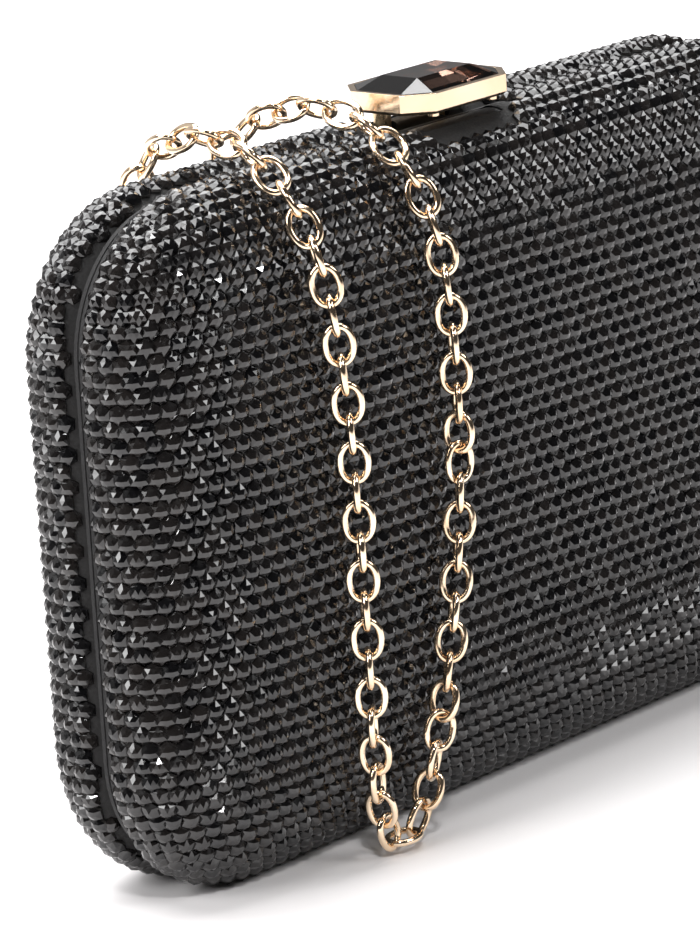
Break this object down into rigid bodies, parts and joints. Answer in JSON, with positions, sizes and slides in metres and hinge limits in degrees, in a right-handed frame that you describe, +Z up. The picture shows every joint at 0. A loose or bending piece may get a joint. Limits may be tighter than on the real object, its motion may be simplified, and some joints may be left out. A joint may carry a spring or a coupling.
{
  "type": "evening bag",
  "caption": "Hard evening bag of two pillow-shaped halves covered in black cut stones, hinged along the bottom, with a jewelled push clasp and a short gold wrist chain.",
  "frame": {"origin": "middle of the bottom edge, in the plane where the two halves meet", "axes": "+X along the width, -Y towards the front face, +Z up"},
  "size_m": [0.1821, 0.0506, 0.1215],
  "materials": {
    "black_crystal": "polished, faceted",
    "black_shell": "satin",
    "black_satin": "soft sheen",
    "black_velvet": "matt pile",
    "pale_gold": "polished, gold plated",
    "inner_gold": "satin, gold plated",
    "spring_steel": "satin",
    "smoky_crystal": "polished, faceted"
  },
  "bodies": {
    "back_half": {"back_stone_cover": "black_crystal", "back_shell": "black_shell", "back_lining": "black_satin", "back_seam_facing": "black_velvet", "back_rim_frame": "inner_gold", "back_hinge_leaf": "inner_gold", "back_hinge_rivets": "inner_gold", "hinge_pin": "spring_steel", "clasp_housing": "inner_gold", "housing_cover": "inner_gold", "housing_screws": "spring_steel", "guide_bushes": "inner_gold", "clasp_spring": "spring_steel", "chain_lug": "pale_gold", "lug_rivets": "pale_gold", "chain_ring": "pale_gold", "chain_links": "pale_gold"},
    "front_half": {"front_stone_cover": "black_crystal", "front_shell": "black_shell", "front_lining": "black_satin", "front_rim_frame": "inner_gold", "front_seam_facing": "black_velvet", "front_hinge_leaf": "inner_gold", "front_hinge_rivets": "inner_gold", "strike_tongue": "inner_gold", "strike_rivets": "inner_gold"},
    "clasp_button": {"clasp_bezel": "pale_gold", "clasp_crystal": "smoky_crystal", "bezel_feet": "pale_gold", "button_posts": "inner_gold", "catch_bar": "inner_gold"}
  },
  "joints": [
    {"name": "front_half_hinge", "type": "hinge", "parent": "back_half", "child": "front_half", "pos_m": [0, 0, 0.0019], "axis": [1, 0, 0], "range_deg": [0, 95], "deforming": ["chain_links"]},
    {"name": "clasp_button_slide", "type": "slide", "parent": "back_half", "child": "clasp_button", "axis": [0, 0, -1], "range_m": [0, 0.0018], "stiffness_N_per_m": 600, "springref_m": -0.002, "deforming": ["clasp_spring"]}
  ]
}
